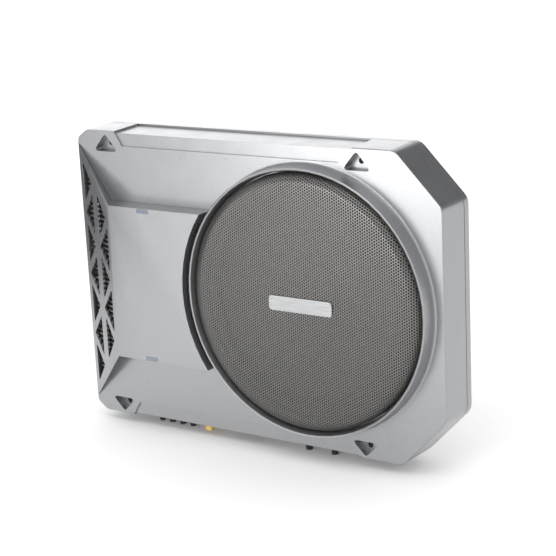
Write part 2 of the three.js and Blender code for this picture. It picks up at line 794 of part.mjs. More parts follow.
function makeKnob(x) {
  const cap = barZ(x, CONTROL_Y, KNOB_R, KNOB_TIP_Z, KNOB_TOP_Z);
  const bore = barZ(x, CONTROL_Y, SHAFT_R + 0.25, KNOB_TIP_Z + 2.8, KNOB_TOP_Z + 1, 12);
  const pointer = box(
    [x - 0.3, CONTROL_Y - KNOB_R - 1, KNOB_TIP_Z - 1],
    [x + 0.3, CONTROL_Y - 0.8, KNOB_TIP_Z + 0.5],
  );
  return cut(cap, [bore, pointer]);
}

function makeRcaJack(y, bodyFront, bodyBack) {
  const body = box([RCA_X - 5.6, bodyFront, FLOOR_Z + 0.2], [RCA_X + 5.6, bodyBack, FLOOR_Z + 12]);
  const collar = barZ(RCA_X, y, RCA_R, RCA_TIP_Z, FLOOR_Z + 1, 20);
  const bore = barZ(RCA_X, y, 1.7, RCA_TIP_Z - 1, RCA_TIP_Z + 8, 10);
  return join([body, collar]).subtract(bore);
}

function makePowerSocket() {
  const low = -HALF_H + 1;
  const body = box([SOCKET_X - 15, CONTROL_Y - 6, low], [SOCKET_X + 15, CONTROL_Y + 6, low + 15]);
  const foot = box([SOCKET_X - 12, CONTROL_Y + 5, FLOOR_Z + 1], [SOCKET_X + 12, BOARD_Y - 0.1, low + 13]);
  const well = box([SOCKET_X - 13, CONTROL_Y - 4.2, low - 1], [SOCKET_X + 13, CONTROL_Y + 4.2, low + 11]);
  const blades = [-9, -3, 3, 9].map((offset) => {
    const x = SOCKET_X + offset;
    return box([x - 1.5, CONTROL_Y - 0.6, low + 7], [x + 1.5, CONTROL_Y + 0.6, low + 12]);
  });
  return join([body.add(foot).subtract(well), ...blades]);
}

function makeFuseHolder(x) {
  const body = barZ(x, CONTROL_Y, 5.4, FLOOR_Z + 0.2, FLOOR_Z + 18, 16);
  return body.add(barZ(x, CONTROL_Y, 1.9, FUSE_TIP_Z + 5, FLOOR_Z + 1, 12));
}

function makeFuseCap(x) {
  const cap = barZ(x, CONTROL_Y, FUSE_CAP_R, FUSE_TIP_Z, -HALF_H + 1, 20);
  return cap.subtract(barZ(x, CONTROL_Y, 2.15, FUSE_TIP_Z + 4.7, -HALF_H + 2, 12));
}

function makeSwitchBody() {
  const x = SWITCH_X;
  const body = box([x - 6, CONTROL_Y - 3.4, FLOOR_Z + 0.2], [x + 6, CONTROL_Y + 3.4, FLOOR_Z + 8]);
  const slot = box([x - 4.2, CONTROL_Y - 1.5, FLOOR_Z - 1], [x + 4.2, CONTROL_Y + 1.5, FLOOR_Z + 3]);
  return body.subtract(slot);
}

function makeSwitchSlider() {
  const x = SWITCH_X - SWITCH_TRAVEL / 2;
  return box([x - 1.6, CONTROL_Y - 1.2, -HALF_H - 1.2], [x + 1.6, CONTROL_Y + 1.2, FLOOR_Z + 2.6]);
}

// ---------------------------------------------------------------- assembly

addPart("front_shell", FINISH.silver, makeFrontShell());
addPart("rear_cover", FINISH.silver, makeRearCover());
addPart("seam_gasket", FINISH.rubber, makeSeamGasket());
addPart("vent_guard", FINISH.silver, makeVentGuard());
addPart("heat_sink", FINISH.bareAluminium, makeHeatSink());
addPart("power_lens", FINISH.lens, makeLens(1));
addPart("protect_lens", FINISH.lens, makeLens(-1));
addPart("grille_mesh", FINISH.grille, makeGrilleMesh());
addPart("badge_plate", FINISH.steel, makeBadgePlate());
POCKETS.forEach(({ x, side, screwZ }, i) => {
  addPart(`case_screw_${i + 1}`, FINISH.blackSteel, makeCaseScrew(x, side * screwZ));
});

addPart("basket", FINISH.blackSteel, makeBasket());
FLANGE_SCREWS.forEach(([x, z], i) => {
  addPart(`driver_screw_${i + 1}`, FINISH.blackSteel, makeDriverScrew(x, z));
});
addPart("surround", FINISH.rubber, makeSurround());
addPart("clamp_ring", FINISH.rubber, tube(93.8, 98.2, -5.9, -4, 36));
addPart("cone", FINISH.paperCone, makeCone());
addPart("dust_cap", FINISH.paperCone, makeDustCap());
addPart("spider", FINISH.cloth, makeSpider());
const former = tube(GAP_R.formerIn, GAP_R.formerOut, 12.5, 35.5, DRIVER_SIDES);
const winding = tube(GAP_R.formerOut + 0.05, GAP_R.coilOut, 27, 35.4, DRIVER_SIDES);
addPart("coil_former", FINISH.bareAluminium, former);
addPart("voice_coil", FINISH.copper, winding);
makeMotor();
addPart("terminal_block", FINISH.blackPlastic, makeTerminalBlock());
addPart("speaker_wire_red", FINISH.redWire, makeWire(1));
addPart("speaker_wire_black", FINISH.rubber, makeWire(-1));

addPart("amp_board", FINISH.board, makeAmpBoard());
SINK_DEVICE_Z.forEach((z, i) => {
  addPart(`transistor_${i + 1}`, FINISH.blackPlastic, makeTransistor(z));
});
addPart("clamp_bar", FINISH.steel, box([-157, 22.9, -54], [-151, 24.9, 54]));
addPart("capacitor_1", FINISH.capSleeve, makeCapacitor(-113, 42));
addPart("capacitor_2", FINISH.capSleeve, makeCapacitor(-113, 14));
addPart("capacitor_3", FINISH.capSleeve, makeCapacitor(-87, 28));
addPart("toroid_choke", FINISH.copper, makeToroid(-98, -30));

KNOB_X.forEach((x, i) => {
  addPart(`control_pot_${i + 1}`, FINISH.blackPlastic, makePot(x));
  addPart(`control_knob_${i + 1}`, FINISH.blackPlastic, makeKnob(x));
});
addPart("rca_jack_left", FINISH.gold, makeRcaJack(RCA_Y.left, 6.2, 16.2));
addPart("rca_jack_right", FINISH.gold, makeRcaJack(RCA_Y.right, 16.6, BOARD_Y - 0.1));
addPart("power_socket", FINISH.blackPlastic, makePowerSocket());
addPart("phase_switch", FINISH.blackPlastic, makeSwitchBody());
addPart("switch_slider", FINISH.blackPlastic, makeSwitchSlider());
FUSE_X.forEach((x, i) => {
  addPart(`fuse_holder_${i + 1}`, FINISH.blackPlastic, makeFuseHolder(x));
  addPart(`fuse_cap_${i + 1}`, FINISH.blackPlastic, makeFuseCap(x));
});

export default group;
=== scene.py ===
import json
import math

import bmesh
import bpy
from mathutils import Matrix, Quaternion, Vector
from mathutils.geometry import delaunay_2d_cdt

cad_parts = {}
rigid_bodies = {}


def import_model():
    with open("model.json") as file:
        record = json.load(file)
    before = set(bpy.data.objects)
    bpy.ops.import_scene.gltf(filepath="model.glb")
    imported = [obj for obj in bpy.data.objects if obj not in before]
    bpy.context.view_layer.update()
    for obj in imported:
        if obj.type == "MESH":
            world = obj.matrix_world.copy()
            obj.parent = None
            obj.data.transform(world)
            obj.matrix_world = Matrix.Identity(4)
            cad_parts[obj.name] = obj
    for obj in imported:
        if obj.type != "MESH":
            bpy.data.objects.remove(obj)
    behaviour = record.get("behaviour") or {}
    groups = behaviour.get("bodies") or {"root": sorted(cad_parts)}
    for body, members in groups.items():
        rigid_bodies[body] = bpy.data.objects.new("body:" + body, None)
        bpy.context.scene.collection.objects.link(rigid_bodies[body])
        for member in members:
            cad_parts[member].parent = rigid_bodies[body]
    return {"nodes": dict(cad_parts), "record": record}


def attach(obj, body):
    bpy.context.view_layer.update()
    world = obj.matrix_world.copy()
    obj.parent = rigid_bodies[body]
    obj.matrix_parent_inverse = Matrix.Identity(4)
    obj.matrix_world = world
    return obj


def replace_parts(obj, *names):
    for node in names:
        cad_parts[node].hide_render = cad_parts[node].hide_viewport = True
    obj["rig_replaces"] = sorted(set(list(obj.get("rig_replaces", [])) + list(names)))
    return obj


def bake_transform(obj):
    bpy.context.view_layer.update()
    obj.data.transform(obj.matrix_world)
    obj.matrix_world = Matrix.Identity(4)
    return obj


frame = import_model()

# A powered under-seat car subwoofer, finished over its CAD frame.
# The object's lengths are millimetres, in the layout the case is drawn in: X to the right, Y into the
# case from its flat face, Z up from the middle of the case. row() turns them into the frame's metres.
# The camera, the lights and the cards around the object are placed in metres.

MM = 0.001
LAYOUT_Y = 17           # the frame's origin in the layout
LAYOUT_Z = -133.5
TURN = 2 * math.pi

DRIVER_X = 55
CONTROL_Y = 18
HALF_W = 172.5
HALF_H = 124.5
FLOOR_Z = -121.3        # the inner side of the bottom wall
CAP_TOP_Z = -HALF_H + 1  # knobs and fuse caps begin this far up, inside the bottom wall
KNOB_X = (-115.5, -104.5, -93.5, -82.5)
KNOB_R = 2.65
KNOB_BORE_R = 1.45
KNOB_TIP_Z = -132.3
FUSE_X = (36, 60.5)
FUSE_CAP_R = 2.9
FUSE_BORE_R = 2.15
FUSE_TIP_Z = -133.5
FUSE_GRIP_Z = -127.5    # the upper end of the fluted grip
RCA_X = -60
RCA = {"rca_jack_left": (11.2, 6.2, 16.2), "rca_jack_right": (21.6, 16.6, 25.9)}    # barrel, front, back
RCA_TIP_Z = -129.8

CAPACITORS = ((-113, 42), (-113, 14), (-87, 28))
CHOKE = (-98, -30)
CHOKE_Y = 20.4
CHOKE_R = 12
CHOKE_TURNS = 30
WIRE_CORE_R = 4.95      # the choke's section between two turns
WIRE_SWELL = 0.42       # and how much it swells on a turn

GRILLE_FRONT = -14.8
GRILLE_DOME = 0.3
GRILLE_R = 104.3
GRILLE_ROLL = 8
GRILLE_RIM_Y = -3.6
GRILLE_T = 0.45
HOLE_PITCH = 2.3
HOLE_R = 0.93
HOLE_SIDES = 12
COLUMN_PITCH = HOLE_PITCH * math.sqrt(3) / 2
HOLE_REACH = 104.5      # how far from the middle the perforation goes, measured along the sheet
RIM_START = HOLE_REACH + 1.9    # beyond this the sheet is plain
RIM_SIDES = 240
RIM_BANDS = 8

NOISE_LOW = 0.3         # a noise is spread from here
NOISE_HIGH = 0.7        # to here, as it seldom goes beyond

CAMERA_AZIMUTH = math.radians(34.0)
CAMERA_ELEVATION = math.radians(14.87)
CAMERA_ROLL = math.radians(-2.72)
CAMERA_DISTANCE = 1.2471
CAMERA_LENS = 101.78
AIM = Vector((0.0248, -0.017, 0.1489))
WORLD_STRENGTH = 1.15

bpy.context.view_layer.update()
nodes = frame["nodes"]
bodies = frame["record"]["behaviour"]["bodies"]
body_of_node = {node: body for body, names in bodies.items() for node in names}
slot_of_node = {part["node"]: part["material_slot"] for part in frame["record"]["subparts"]}


def row(x, y, z):
    return Vector((x * MM, (y - LAYOUT_Y) * MM, (z - LAYOUT_Z) * MM))


# ---------------------------------------------------------------- materials

class Look:
    """A node material that is put together step by step."""

    def __init__(self, name, colour, metallic, roughness, **more):
        self.material = bpy.data.materials.new(name)
        self.material.use_nodes = True
        self.tree = self.material.node_tree
        self.shader = self.tree.nodes["Principled BSDF"]
        self.shader.inputs["Base Color"].default_value = (*colour, 1)
        self.shader.inputs["Metallic"].default_value = metallic
        self.shader.inputs["Roughness"].default_value = roughness
        for socket, value in more.items():
            self.shader.inputs[socket.replace("_", " ")].default_value = value
        self.place = self.tree.nodes.new("ShaderNodeTexCoord").outputs["Object"]
        self.normal = None

    def node(self, kind, **settings):
        made = self.tree.nodes.new(kind)
        for key, value in settings.items():
            setattr(made, key, value)
        return made

    def stretched(self, scale):
        mapping = self.node("ShaderNodeMapping")
        mapping.inputs["Scale"].default_value = scale
        self.tree.links.new(self.place, mapping.inputs["Vector"])
        return mapping.outputs["Vector"]

    def noise(self, scale, detail=3, stretch=(1, 1, 1)):
        made = self.node("ShaderNodeTexNoise")
        made.inputs["Scale"].default_value = scale
        made.inputs["Detail"].default_value = detail
        self.tree.links.new(self.stretched(stretch), made.inputs["Vector"])
        return made.outputs["Fac"]

    def cells(self, scale, output="Distance", stretch=(1, 1, 1)):
        made = self.node("ShaderNodeTexVoronoi")
        made.inputs["Scale"].default_value = scale
        self.tree.links.new(self.stretched(stretch), made.inputs["Vector"])
        return made.outputs[output]

    def stripes(self, scale, direction):
        made = self.node("ShaderNodeTexWave", wave_type="BANDS", bands_direction=direction)
        made.inputs["Scale"].default_value = scale
        made.inputs["Distortion"].default_value = 0
        self.tree.links.new(self.place, made.inputs["Vector"])
        return made.outputs["Fac"]

    def roughness(self, value, low, high):
        spread = self.node("ShaderNodeMapRange")
        spread.inputs["From Min"].default_value = NOISE_LOW
        spread.inputs["From Max"].default_value = NOISE_HIGH
        spread.inputs["To Min"].default_value = low
        spread.inputs["To Max"].default_value = high
        self.tree.links.new(value, spread.inputs["Value"])
        self.tree.links.new(spread.outputs["Result"], self.shader.inputs["Roughness"])

    def colour(self, value, dark, light, dark_at=NOISE_LOW, light_at=NOISE_HIGH):
        ramp = self.node("ShaderNodeValToRGB")
        ramp.color_ramp.elements[0].position = dark_at
        ramp.color_ramp.elements[1].position = light_at
        ramp.color_ramp.elements[0].color = (*dark, 1)
        ramp.color_ramp.elements[1].color = (*light, 1)
        self.tree.links.new(value, ramp.inputs["Fac"])
        self.tree.links.new(ramp.outputs["Color"], self.shader.inputs["Base Color"])

    def soften(self, radius):
        """Rounds the look of sharp edges by this radius."""
        made = self.node("ShaderNodeBevel", samples=6)
        made.inputs["Radius"].default_value = radius * MM
        self.normal = made.outputs["Normal"]
        self.tree.links.new(self.normal, self.shader.inputs["Normal"])

    def bump(self, height, depth):
        made = self.node("ShaderNodeBump")
        made.inputs["Strength"].default_value = 1
        made.inputs["Distance"].default_value = depth * MM
        self.tree.links.new(height, made.inputs["Height"])
        if self.normal is not None:
            self.tree.links.new(self.normal, made.inputs["Normal"])
        self.normal = made.outputs["Normal"]
        self.tree.links.new(self.normal, self.shader.inputs["Normal"])


def silver_paint():
    look = Look("silver_paint", (0.38, 0.385, 0.4), 0.86, 0.3)
    look.colour(look.cells(3200, "Color"), (0.335, 0.34, 0.35), (0.395, 0.4, 0.41), 0.2, 0.9)
    look.roughness(look.noise(60, 4), 0.27, 0.33)
    look.soften(0.2)
    look.bump(look.noise(900, 2), 0.012)
    look.bump(look.cells(3200), 0.006)
    return look


def black_paint():
    look = Look("black_paint", (0.03, 0.03, 0.033), 0.0, 0.5)
    look.colour(look.noise(500), (0.022, 0.022, 0.024), (0.04, 0.041, 0.044))
    look.roughness(look.noise(200), 0.42, 0.6)
    look.soften(0.25)
    look.bump(look.cells(1400), 0.05)
    return look


def grille_steel():
    look = Look("grille_steel", (0.23, 0.225, 0.217), 0.9, 0.32)
    look.colour(look.noise(700), (0.2, 0.195, 0.188), (0.26, 0.254, 0.245))
    look.roughness(look.noise(90), 0.34, 0.46)
    look.bump(look.noise(1500, 2), 0.01)
    return look


def heat_sink_metal():
    look = Look("heat_sink_metal", (0.42, 0.43, 0.44), 0.9, 0.34)
    grain = look.noise(260, 5, (0.05, 1, 1))
    look.colour(grain, (0.34, 0.345, 0.35), (0.5, 0.505, 0.51))
    look.roughness(grain, 0.28, 0.42)
    look.bump(look.noise(900, 3, (0.03, 1, 1)), 0.02)
    return look


def rubber():
    look = Look("rubber", (0.016, 0.016, 0.017), 0.0, 0.75)
    look.colour(look.noise(120, 5), (0.012, 0.012, 0.013), (0.024, 0.024, 0.026))
    look.roughness(look.noise(300), 0.62, 0.82)
    look.bump(look.noise(1200, 4), 0.03)
    return look


def cone_paper():
    look = Look("cone_paper", (0.02, 0.02, 0.022), 0.0, 0.7)
    fibres = look.noise(420, 8, (1, 1, 0.35))
    look.colour(fibres, (0.014, 0.014, 0.015), (0.04, 0.04, 0.042))
    look.roughness(fibres, 0.55, 0.8)
    look.bump(fibres, 0.06)
    return look


def spider_cloth():
    look = Look("spider_cloth", (0.42, 0.32, 0.13), 0.0, 0.85)
    look.colour(look.noise(300), (0.36, 0.26, 0.1), (0.5, 0.39, 0.18))
    look.bump(look.stripes(620, "X"), 0.05)
    look.bump(look.stripes(620, "Z"), 0.05)
    return look


def copper_wire():
    look = Look("copper_wire", (0.62, 0.28, 0.12), 0.9, 0.32)
    look.colour(look.noise(200), (0.52, 0.22, 0.09), (0.7, 0.34, 0.16))
    look.roughness(look.noise(500), 0.24, 0.4)
    look.bump(look.stripes(900, "Y"), 0.04)
    return look


def ferrite():
    look = Look("ferrite", (0.05, 0.05, 0.055), 0.1, 0.6)
    look.colour(look.noise(300, 6), (0.035, 0.035, 0.038), (0.075, 0.076, 0.08))
    look.roughness(look.noise(200), 0.5, 0.75)
    look.bump(look.noise(900, 5), 0.05)
    return look


def plated_steel():
    look = Look("plated_steel", (0.4, 0.405, 0.41), 0.95, 0.28)
    grain = look.noise(1400, 3, (0.04, 1, 1))
    look.colour(grain, (0.34, 0.345, 0.35), (0.44, 0.445, 0.45))
    look.roughness(grain, 0.26, 0.36)
    look.soften(0.2)
    look.bump(grain, 0.004)
    return look


def black_plastic():
    look = Look("black_plastic", (0.02, 0.02, 0.022), 0.0, 0.42)
    look.colour(look.noise(260), (0.016, 0.016, 0.017), (0.03, 0.03, 0.032))
    look.roughness(look.noise(400), 0.36, 0.52)
    look.soften(0.2)
    look.bump(look.cells(2200), 0.02)
    return look


def gold_plate():
    look = Look("gold_plate", (0.86, 0.58, 0.2), 1.0, 0.18)
    look.colour(look.noise(300), (0.8, 0.52, 0.17), (0.92, 0.66, 0.27))
    look.roughness(look.noise(600), 0.13, 0.25)
    look.bump(look.noise(1200, 2), 0.005)
    return look


def lens():
    look = Look("lens", (0.14, 0.17, 0.22), 0.0, 0.12, Coat_Weight=1.0, Coat_Roughness=0.04)
    look.colour(look.stripes(420, "X"), (0.09, 0.115, 0.155), (0.2, 0.235, 0.29), 0.2, 0.8)
    look.roughness(look.noise(500), 0.08, 0.18)
    look.bump(look.stripes(420, "X"), 0.05)
    return look


def circuit_board():
    look = Look("circuit_board", (0.03, 0.16, 0.07), 0.0, 0.4, Coat_Weight=0.5, Coat_Roughness=0.2)
    traces = look.cells(520, "Color", (1, 1, 0.3))
    look.colour(traces, (0.022, 0.13, 0.055), (0.034, 0.175, 0.075), 0.45, 0.55)
    look.roughness(look.noise(300), 0.3, 0.45)
    look.bump(traces, 0.03)
    return look


def capacitor_sleeve():
    look = Look("capacitor_sleeve", (0.03, 0.04, 0.09), 0.0, 0.35, Coat_Weight=0.4)
    look.colour(look.noise(150), (0.024, 0.032, 0.07), (0.045, 0.06, 0.12))
    look.roughness(look.noise(400), 0.26, 0.42)
    look.bump(look.noise(500), 0.02)
    return look


def red_insulation():
    look = Look("red_insulation", (0.45, 0.03, 0.03), 0.0, 0.45)
    look.colour(look.noise(200), (0.38, 0.02, 0.02), (0.52, 0.045, 0.04))
    look.roughness(look.noise(600), 0.36, 0.55)
    look.bump(look.noise(900), 0.02)
    return look


MAKERS = (
    silver_paint, black_paint, grille_steel, heat_sink_metal, rubber, cone_paper, spider_cloth, copper_wire,
    ferrite, plated_steel, black_plastic, gold_plate, lens, circuit_board, capacitor_sleeve, red_insulation,
)
materials = {maker.__name__: maker().material for maker in MAKERS}

# ---------------------------------------------------------------- pieces

SHARP_ANGLE = math.radians(30)
FLAT_ANGLE = math.radians(0.4)
CAD_MERGE = 2e-6        # metres
TURNED_MERGE = 1e-7
BEVEL_ROOM = 2.2        # an edge shorter than this many bevels stays sharp
LARGEST_CUT = 0.4       # of the side that a chamfer cuts into


def add_piece(name, bm, stands_for, smooth_angle=32, rides=True):
    """Turns a bmesh into a piece that replaces a CAD node and takes its slot and, if it rides, its body."""
    mesh = bpy.data.meshes.new(name)
    bm.to_mesh(mesh)
    bm.free()
    mesh.polygons.foreach_set("use_smooth", [True] * len(mesh.polygons))
    mesh.set_sharp_from_angle(angle=math.radians(smooth_angle))
    slot = slot_of_node[stands_for]
    mesh.materials.append(materials[slot])
    piece = bpy.data.objects.new(name, mesh)
    bpy.context.scene.collection.objects.link(piece)
    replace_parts(piece, stands_for)
    if rides:
        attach(piece, body_of_node[stands_for])
    return piece


def lathe(bm, profile, sides, place, start=0.0, sweep=TURN, shape=None):
    """Turns a closed profile of (radius, depth) around an axis. place() puts a point in the frame.

    shape() says how far a point that carries a third number is drawn in at an angle.
    """
    is_whole = sweep == TURN
    rings = []
    for step in range(sides if is_whole else sides + 1):
        angle = start + sweep * step / sides
        drawn_in = shape(angle) if shape else 0
        ring = []
        for radius, depth, *shaped in profile:
            ring.append(bm.verts.new(place(radius - drawn_in * len(shaped), depth, angle)))
        rings.append(ring)
    count = len(profile)
    for step in range(sides):
        ring = rings[step]
        after = rings[(step + 1) % len(rings)]
        for i in range(count):
            j = (i + 1) % count
            if profile[i][0] == 0 and profile[j][0] == 0:
                continue
            bm.faces.new((ring[i], ring[j], after[j], after[i]))
    if not is_whole:
        bm.faces.new(rings[0])
        bm.faces.new(list(reversed(rings[-1])))
    bmesh.ops.remove_doubles(bm, verts=bm.verts, dist=TURNED_MERGE)
    bmesh.ops.dissolve_degenerate(bm, dist=TURNED_MERGE, edges=bm.edges)
    bmesh.ops.recalc_face_normals(bm, faces=bm.faces)


def around_driver(radius, depth, angle):
    return row(DRIVER_X + radius * math.cos(angle), depth, radius * math.sin(angle))


def around_upright(x, y):
    """Places turned points around a line that runs along Z."""
    return lambda radius, z, angle: row(x + radius * math.cos(angle), y + radius * math.sin(angle), z)


def around_depth(x, z):
    """Places turned points around a line that runs along Y."""
    return lambda radius, y, angle: row(x + radius * math.cos(angle), y, z + radius * math.sin(angle))


def add_box(bm, low, high, bevel=0.0):
    xs, ys, zs = zip(low, high)
    corners = [row(x, y, z) for x in xs for y in ys for z in zs]
    made = bmesh.ops.convex_hull(bm, input=[bm.verts.new(corner) for corner in corners])
    if bevel:
        faces = [item for item in made["geom"] if isinstance(item, bmesh.types.BMFace)]
        edges = {edge for face in faces for edge in face.edges}
        sharp = [edge for edge in edges if edge.calc_face_angle(0) > SHARP_ANGLE]
        bmesh.ops.bevel(bm, geom=sharp, offset=bevel * MM, segments=2, profile=0.5, affect="EDGES")


def chamfered(points, size):
    """Cuts the corners of a closed profile by the same size, but leaves those on the axis."""
    result = []
    count = len(points)
    for i, point in enumerate(points):
        here = Vector(point)
        for other in (points[i - 1], points[(i + 1) % count]):
            away = Vector(other) - here
            step = min(size, away.length * LARGEST_CUT)
            result.append(tuple(here + away.normalized() * step) if point[0] > 0 else point)
    return [point for i, point in enumerate(result) if point != result[i - 1]]


def refine(node, bevel, sunk):
    """A CAD node with its flat faces merged and its sharp edges rounded.

    sunk draws it in from the case's outline.
    """
    bm = bmesh.new()
    bm.from_mesh(nodes[node].data)
    if sunk:
        middle = row(0, LAYOUT_Y, 0)
        for vertex in bm.verts:
            away = vertex.co - middle
            away.x *= 1 - sunk / HALF_W
            away.z *= 1 - sunk / HALF_H
            vertex.co = middle + away
    bmesh.ops.remove_doubles(bm, verts=bm.verts, dist=CAD_MERGE)
    bmesh.ops.dissolve_limit(bm, angle_limit=FLAT_ANGLE, verts=bm.verts, edges=bm.edges)
    if bevel:
        room = BEVEL_ROOM * bevel * MM
        sharp = [
            edge for edge in bm.edges
            if edge.is_manifold and edge.calc_face_angle(0) > SHARP_ANGLE and edge.calc_length() > room
        ]
        bmesh.ops.bevel(bm, geom=sharp, offset=bevel * MM, offset_type="OFFSET", segments=2, profile=0.5,
                        affect="EDGES", clamp_overlap=True)
    piece = add_piece(node + "_finished", bm, node)
    normals = piece.modifiers.new("flat faces stay flat", "WEIGHTED_NORMAL")
    normals.keep_sharp = True


# ---------------------------------------------------------------- grille

ROLL_START = GRILLE_R - GRILLE_ROLL
ROLL_END = ROLL_START + GRILLE_ROLL * math.pi / 2
SHEET_END = ROLL_END + GRILLE_RIM_Y - GRILLE_FRONT - GRILLE_ROLL


def sheet_point(x, z, depth):
    """Forms the flat sheet: where its point (x, z) ends up, at this depth inside the front face."""
    along = math.hypot(x, z)
    if along <= ROLL_START:
        y = GRILLE_FRONT - GRILLE_DOME * (1 - along / ROLL_START)
        return row(DRIVER_X + x, y + depth, z)
    angle = min((along - ROLL_START) / GRILLE_ROLL, math.pi / 2)
    radius = ROLL_START + (GRILLE_ROLL - depth) * math.sin(angle)
    straight = max(0, along - ROLL_END)
    y = GRILLE_FRONT + GRILLE_ROLL - (GRILLE_ROLL - depth) * math.cos(angle) + straight
    return row(DRIVER_X + x * radius / along, y, z * radius / along)


def perforation():
    """Hole centres, in upright columns half a pitch apart, keyed by column and row."""
    columns = int(HOLE_REACH / COLUMN_PITCH)
    rows = int(HOLE_REACH / HOLE_PITCH) + 1
    centres = {}
    for column in range(-columns, columns + 1):
        for step in range(-rows, rows + 1):
            x = column * COLUMN_PITCH
            z = (step + 0.5 * (column % 2)) * HOLE_PITCH
            if math.hypot(x, z) <= HOLE_REACH:
                centres[column, step] = (x, z)
    return centres


def make_grille(parts=4):
    """The perforated sheet: a six-sided cell around each hole, the strip outside them and the rim."""
    corner_r = HOLE_PITCH / math.sqrt(3)
    points = []
    index_of = {}
    triangles = [[] for _ in range(parts)]

    def point(x, z):
        key = (round(x, 3), round(z, 3))
        if key not in index_of:
            index_of[key] = len(points)
            points.append((x, z))
        return index_of[key]

    def part_of(x, z):
        return int((math.atan2(z, x) % TURN) / TURN * parts) % parts

    def circle(x, z, radius, sides):
        angles = [k * TURN / sides for k in range(sides)]
        return [point(x + radius * math.cos(a), z + radius * math.sin(a)) for a in angles]

    border = {}    # the cells' outer edges. A dict keeps them in order.
    centres = perforation()
    for x, z in centres.values():
        corners = circle(x, z, corner_r, 6)
        hole = circle(x, z, HOLE_R, HOLE_SIDES)
        faces = triangles[part_of(x, z)]
        per_corner = HOLE_SIDES // 6
        for k in range(6):
            here, after = corners[k], corners[(k + 1) % 6]
            first = k * per_corner
            middle = first + per_corner // 2
            for step in range(first, first + per_corner):
                corner = here if step < middle else after
                faces.append((hole[step], corner, hole[(step + 1) % HOLE_SIDES]))
            faces.append((hole[middle], here, after))
            if (after, here) in border:
                del border[after, here]
            else:
                border[here, after] = True

    ring = circle(0, 0, RIM_START, RIM_SIDES)
    loose = sorted({end for edge in border for end in edge}) + ring
    order = {index: i for i, index in enumerate(loose)}
    edges = [(order[a], order[b]) for a, b in border]
    edges += [(order[ring[k]], order[ring[(k + 1) % RIM_SIDES]]) for k in range(RIM_SIDES)]
    filled = delaunay_2d_cdt([Vector(points[index]) for index in loose], edges, [], 0, 1e-6)
    for face in filled[2]:
        corners = [point(*filled[0][i]) for i in face]
        x = sum(points[i][0] for i in corners) / 3
        z = sum(points[i][1] for i in corners) / 3
        column = round(x / COLUMN_PITCH)
        nearest = min(
            ((c, round(z / HOLE_PITCH - 0.5 * (c % 2))) for c in (column - 1, column, column + 1)),
            key=lambda key: math.hypot(
                key[0] * COLUMN_PITCH - x, (key[1] + 0.5 * (key[0] % 2)) * HOLE_PITCH - z),
        )
        if nearest not in centres:
            triangles[part_of(x, z)].append(tuple(corners))

    for band in range(RIM_BANDS):
        near = RIM_START + (SHEET_END - RIM_START) * band / RIM_BANDS
        far = RIM_START + (SHEET_END - RIM_START) * (band + 1) / RIM_BANDS
        for k in range(RIM_SIDES):
            a = k * TURN / RIM_SIDES
            b = (k + 1) * TURN / RIM_SIDES
            inner = [point(near * math.cos(angle), near * math.sin(angle)) for angle in (a, b)]
            outer = [point(far * math.cos(angle), far * math.sin(angle)) for angle in (a, b)]
            middle = (a + b) / 2
            faces = triangles[part_of(math.cos(middle), math.sin(middle))]
            faces.append((inner[0], outer[0], outer[1]))
            faces.append((inner[0], outer[1], inner[1]))

    for number, faces in enumerate(triangles):
        used = sorted({i for face in faces for i in face})
        local = {index: i for i, index in enumerate(used)}
        count = len(used)
        front = [sheet_point(*points[index], 0) for index in used]
        back = [sheet_point(*points[index], GRILLE_T) for index in used]
        solid = []
        open_edges = set()
        for face in faces:
            corners = [local[i] for i in face]
            a, b, c = (Vector(points[i]) for i in face)
            if (b - a).cross(c - a) < 0:
                corners.reverse()
            solid.append(tuple(corners))
            solid.append(tuple(i + count for i in reversed(corners)))
            for i in range(3):
                edge = (corners[i], corners[(i + 1) % 3])
                if (edge[1], edge[0]) in open_edges:
                    open_edges.remove((edge[1], edge[0]))
                else:
                    open_edges.add(edge)
        solid += [(b, a, a + count, b + count) for a, b in sorted(open_edges)]
        mesh = bpy.data.meshes.new("sheet")
        mesh.from_pydata(front + back, [], solid)
        bm = bmesh.new()
        bm.from_mesh(mesh)
        bpy.data.meshes.remove(mesh)
        bmesh.ops.recalc_face_normals(bm, faces=bm.faces)
        add_piece(f"grille_sheet_{number + 1}", bm, "grille_mesh", 40)


# ---------------------------------------------------------------- driver

SURROUND_SECTORS = 16
SPIDER_SECTORS = 12
SURROUND = {
    "roll_r": 87.75, "roll": 5.25, "inner": 79, "outer": 98.4, "front": -3.9, "back": -3.3, "thick": 0.6,
    "bend_outer": 93.2, "bend_inner": 82.3,
}
SPIDER = {
    "inner": 20.2, "last_wave": 45, "outer": 53.5, "y": 18.7, "swing": 1.2, "waves": 4, "thick": 0.7,
    "bend_outer": 45, "bend_inner": 21,
}
CONE = {"inner": (21.2, 14), "outer": (84, -3), "thick": 0.9, "press": 0.12, "presses": 10}
DUST_CAP = {"rim_r": 32, "rise": 7.5, "rim_y": 10.48, "thick": 0.8}
COIL = {"inner_r": 19.97, "groove_r": 20.45, "outer_r": 20.8, "front": 27, "back": 35.4, "turns": 21}


def surround_profile():
    roll_r = SURROUND["roll_r"]
    roll = SURROUND["roll"]
    back = SURROUND["back"]
    thick = SURROUND["thick"]
    steps = 14

    def arc(radius):
        angles = [math.pi * step / steps for step in range(steps + 1)]
        return [(roll_r + radius * math.cos(a), SURROUND["front"] - radius * math.sin(a)) for a in angles]

    inside = list(reversed(arc(roll - thick)))
    return [
        (SURROUND["outer"], back),
        (SURROUND["outer"], SURROUND["front"]),
        *arc(roll),
        (SURROUND["inner"], SURROUND["front"]),
        (SURROUND["inner"], back),
        (roll_r - roll + thick, back),
        *inside,
        (roll_r + roll - thick, back),
    ]


